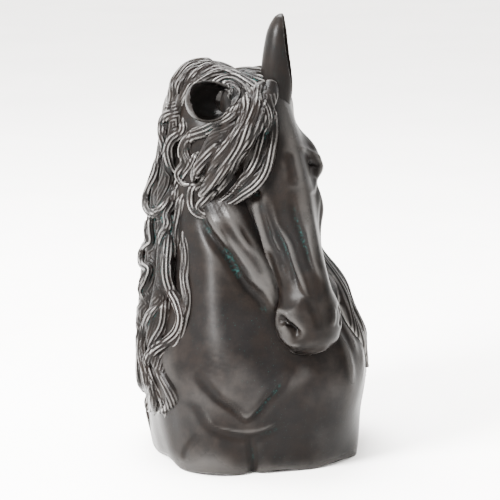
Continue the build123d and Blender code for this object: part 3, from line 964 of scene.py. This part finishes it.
def hair_piece(name, nodes, core, locks, combed, coarse, ground):
    """One mass of hair, welded from its solid locks, the drawn locks and the combed strands."""
    sizes = bpy.context.scene.horse_bust
    chance = np.random.default_rng(sum(map(ord, name)))
    shapes = list(map(solid_arrays, core))
    if locks:
        tree = solid_tree(*core, *ground)
        for course, width, lift, strands in locks:
            shapes.append(ribbon(*laid(course, tree), 1.25 * width, lift * sizes.hair_lift, strands, chance))
    if combed:
        for node in nodes:
            shapes += solid_strands(node, combed, 3, chance)
    points, faces = joined(shapes)
    points[:, 2] = np.maximum(points[:, 2], 0.5)
    piece = new_piece(name, slimmed(points), faces)
    fuse(piece, coarse * sizes.hair_voxel, 1)
    drawn = [course for course, _, _, _ in locks]
    pattern = combed_along(drawn, sizes.hair_ridge) if locks else combed_down(sizes.mane_ridges)
    score(piece, pattern, sizes.hair_depth)
    finish_piece(piece, "patina_hair", "bronze_hair", (16, 1.5), *nodes)


class HORSEBUST_OT_forelock(bpy.types.Operator):
    """Makes the crest that arches over the poll, and the forelock swept over the right cheek"""

    bl_idname = "horsebust.forelock"
    bl_label = "Crest and forelock"

    def execute(self, context):
        hair_piece("crest", CREST_NODES, CREST_NODES, CREST_LOCKS, 0, 1, [NECK_NODE, HEAD_NODE])
        ground = [HEAD_NODE, NECK_NODE]
        hair_piece("forelock", FORELOCK_NODES, FORELOCK_NODES[:2], FORELOCK_LOCKS, 0, 1, ground)
        return {"FINISHED"}


class HORSEBUST_OT_mane(bpy.types.Operator):
    """Makes the mane in four masses: two on the right, one at the back and one on the left"""

    bl_idname = "horsebust.mane"
    bl_label = "Mane"

    def execute(self, context):
        combed = context.scene.horse_bust.combed
        for name, nodes, locks, coarse in (
            ("mane_right", RIGHT_NODES[:3], RIGHT_LOCKS, 1),
            ("mane_right_rear", RIGHT_NODES[3:], [], 1.4),
            ("mane_back", BACK_NODES, [], 1.4),
            ("mane_left", LEFT_NODES, [], 1.3),
        ):
            hair_piece(name, nodes, nodes, locks, combed, coarse, [NECK_NODE])
        return {"FINISHED"}


# ---- fittings, finishes and stage


class HORSEBUST_OT_finishes(bpy.types.Operator):
    """Makes the patina, the bare bronze and the floor's plaster, and finishes the fittings"""

    bl_idname = "horsebust.finishes"
    bl_label = "Finishes"

    def execute(self, context):
        colours = context.scene.horse_bust_colours
        # The fourth number is the share of worn metal and painted highlight on the raised places.
        bronze("patina", colours, 1.0, 0.10, 0.35)
        bronze("patina_hair", colours, 1.6, 0.6, 0.3)
        bare_bronze("bare_bronze", colours)
        plaster("plaster", colours.floor)
        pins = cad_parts["joint_pins"].data
        pins.materials.clear()
        pins.materials.append(bpy.data.materials["bare_bronze"])
        return {"FINISHED"}


class HORSEBUST_OT_stage(bpy.types.Operator):
    """Sets up the floor, the soft lights and the camera"""

    bl_idname = "horsebust.stage"
    bl_label = "Stage"

    def execute(self, context):
        sizes, view = context.scene.horse_bust_stage, context.scene
        half = sizes.floor / 2
        mesh = bpy.data.meshes.new("floor")
        steps = np.linspace(-half, half, 9)
        points = [(x, y, 0.0) for y in steps for x in steps]
        faces = [(k, k + 1, k + 10, k + 9) for row in range(8) for k in range(row * 9, row * 9 + 8)]
        mesh.from_pydata(points, [], faces)
        mesh.materials.append(bpy.data.materials["plaster"])
        floor = bpy.data.objects.new("floor", mesh)
        view.collection.objects.link(floor)
        for name, place, size, power in (
            ("key_light", (-1.4, -1.2, 1.5), 0.8, sizes.key),
            ("fill_light", (1.8, -1.6, 0.9), 1.6, sizes.fill),
            ("top_light", (-0.3, 0.5, 2.0), 1.4, sizes.top),
            ("edge_light", (1.5, 1.2, 1.0), 1.0, sizes.edge),
        ):
            lamp = bpy.data.lights.new(name, "AREA")
            lamp.shape, lamp.size, lamp.energy = "DISK", size, power
            light = bpy.data.objects.new(name, lamp)
            light.location = place
            light.rotation_euler = (Vector((0, 0, 0.22)) - Vector(place)).to_track_quat("-Z", "Y").to_euler()
            view.collection.objects.link(light)
        world = bpy.data.worlds.new("room")
        world.use_nodes = True
        sky = world.node_tree.nodes["Background"]
        sky.inputs["Color"].default_value = (1.0, 0.985, 0.97, 1.0)
        nodes, links = world.node_tree.nodes, world.node_tree.links
        parts, fall = nodes.new("ShaderNodeSeparateXYZ"), nodes.new("ShaderNodeMapRange")
        links.new(nodes.new("ShaderNodeTexCoord").outputs["Generated"], parts.inputs[0])
        links.new(parts.outputs["X"], fall.inputs["Value"])
        for name, value in (("From Min", -1.0), ("To Min", 1.5 * sizes.room), ("To Max", 0.3 * sizes.room)):
            fall.inputs[name].default_value = value
        links.new(fall.outputs["Result"], sky.inputs["Strength"])
        view.world = world
        camera = bpy.data.cameras.new("camera")
        camera.lens = camera.sensor_width * sizes.distance / sizes.field
        eye = bpy.data.objects.new("camera", camera)
        target = np.array((-3.0, 0.0, 0.0)) + BOARD_UP * 202 + STAND
        target -= BOARD_AWAY * (target @ BOARD_AWAY)
        eye.location = Vector(target * MM) - Vector(BOARD_AWAY) * sizes.distance
        eye.rotation_euler = Vector(BOARD_AWAY).to_track_quat("-Z", "Y").to_euler()
        view.collection.objects.link(eye)
        view.camera = eye
        return {"FINISHED"}


def number(name, description, default, kind=FloatProperty, **limits):
    """A number that a user may change."""
    return kind(name=name, description=description, default=default, **limits)


def colour(name, description, default):
    """A colour that a user may change."""
    return number(name, description, default, FloatVectorProperty, subtype="COLOR", size=3)


class BustSizes(bpy.types.PropertyGroup):
    """Sizes of the sculpture that a user would change, in millimetres on the bench."""

    turn: number("Head turn", "Turn of the face", math.radians(35), subtype="ANGLE")
    drop: number("Head drop", "Lean of the head", math.radians(26), subtype="ANGLE")
    wall: number("Wall", "Casting wall in millimetres", 4.0, min=2.0, max=8.0)
    depth: number("Folds", "Depth of the breast's folds", 1.0, min=0.0, max=2.0)
    rounding: number("Rounding", "Share by which the lowest edge is drawn in", 0.016, min=0.0)
    hem: number("Hem", "How far the lower rim's waves rise", 3.2, min=0.0)
    ear_wall: number("Ear wall", "Thickness of the ears' leaf", 2.8, min=2.0)
    ear_curl: number("Ear curl", "How far the tips lean back", -5.0)
    hair_lift: number("Hair relief", "How far locks stand out", 1.0, min=0.2)
    hair_ridge: number("Hair ridges", "Spacing of the fine ridges", 3.5, min=1.5)
    mane_ridges: number("Mane ridges", "Ridges on each lock of the mane", 6, IntProperty, min=1)
    hair_depth: number("Hair grooves", "Depth of the fine grooves", 1.1, min=0.0)
    hair_voxel: number("Hair grain", "Fineness of the welded hair", 0.85, min=0.6)
    combed: number("Combed strands", "Strands on each lock of the mane", 3, IntProperty, min=0)


class BronzeColours(bpy.types.PropertyGroup):
    """Colours of the metal, its patina and the floor."""

    patina: colour("Patina", "The main dark brown", (0.0026, 0.0022, 0.0020))
    umber: colour("Umber", "The warmer brown in it", (0.0043, 0.0031, 0.0025))
    slate: colour("Slate", "The greyer clouds in it", (0.0034, 0.0036, 0.0039))
    shadow: colour("Shadow", "The nearly black deep places", (0.0010, 0.0010, 0.0010))
    # Rubbed: partly worn bare metal, partly a painted highlight on what stands out.
    rubbed_and_highlight: colour("Rubbed", "The paler metal on what stands out", (0.17, 0.163, 0.156))
    verdigris: colour("Verdigris", "The blue green in deep places", (0.004, 0.030, 0.028))
    bloom: colour("Bloom", "The palest green specks", (0.03, 0.12, 0.11))
    metal: colour("Metal", "Bare cast bronze", (0.42, 0.27, 0.13))
    floor: colour("Floor", "The pale floor", (0.90, 0.885, 0.865))


class StageSizes(bpy.types.PropertyGroup):
    """The camera's distance and the lights' strengths."""

    distance: number("Distance", "Camera to bust", 2.2, unit="LENGTH")
    field: number("Field", "Width of what the camera sees", 0.52, unit="LENGTH")
    floor: number("Floor", "Side of the floor", 24.0, unit="LENGTH")
    key: number("Key", "Power of the key light", 420.0)
    fill: number("Fill", "Power of the fill light", 10.0)
    top: number("Top", "Power of the light from above", 260.0)
    edge: number("Edge", "Power of the light from behind", 8.0)
    room: number("Room", "Power of the white room", 5.0)


class HORSEBUST_PT_panel(bpy.types.Panel):
    """Lists the pieces and their sizes in the sidebar"""

    bl_idname = "HORSEBUST_PT_panel"
    bl_label = "Horse Bust"
    bl_space_type = "VIEW_3D"
    bl_region_type = "UI"
    bl_category = "Horse Bust"

    def draw(self, context):
        for operator in OPERATORS:
            self.layout.operator(operator.bl_idname)
        scene = context.scene
        for group in (scene.horse_bust, scene.horse_bust_colours, scene.horse_bust_stage):
            box = self.layout.box()
            for name in group.__annotations__:
                box.prop(group, name)


OPERATORS = (
    HORSEBUST_OT_finishes,
    HORSEBUST_OT_chest,
    HORSEBUST_OT_head,
    HORSEBUST_OT_ears,
    HORSEBUST_OT_forelock,
    HORSEBUST_OT_mane,
    HORSEBUST_OT_stage,
)
CLASSES = (BustSizes, BronzeColours, StageSizes, *OPERATORS, HORSEBUST_PT_panel)


def register():
    for each in CLASSES:
        bpy.utils.register_class(each)
    bpy.types.Scene.horse_bust = PointerProperty(type=BustSizes)
    bpy.types.Scene.horse_bust_colours = PointerProperty(type=BronzeColours)
    bpy.types.Scene.horse_bust_stage = PointerProperty(type=StageSizes)


def unregister():
    del bpy.types.Scene.horse_bust, bpy.types.Scene.horse_bust_colours, bpy.types.Scene.horse_bust_stage
    for each in reversed(CLASSES):
        bpy.utils.unregister_class(each)


def main():
    """Makes every piece in order."""
    register()
    bpy.ops.horsebust.finishes()
    bpy.ops.horsebust.chest()
    bpy.ops.horsebust.head()
    bpy.ops.horsebust.ears()
    bpy.ops.horsebust.forelock()
    bpy.ops.horsebust.mane()
    bpy.ops.horsebust.stage()


if __name__ == "__main__":
    main()
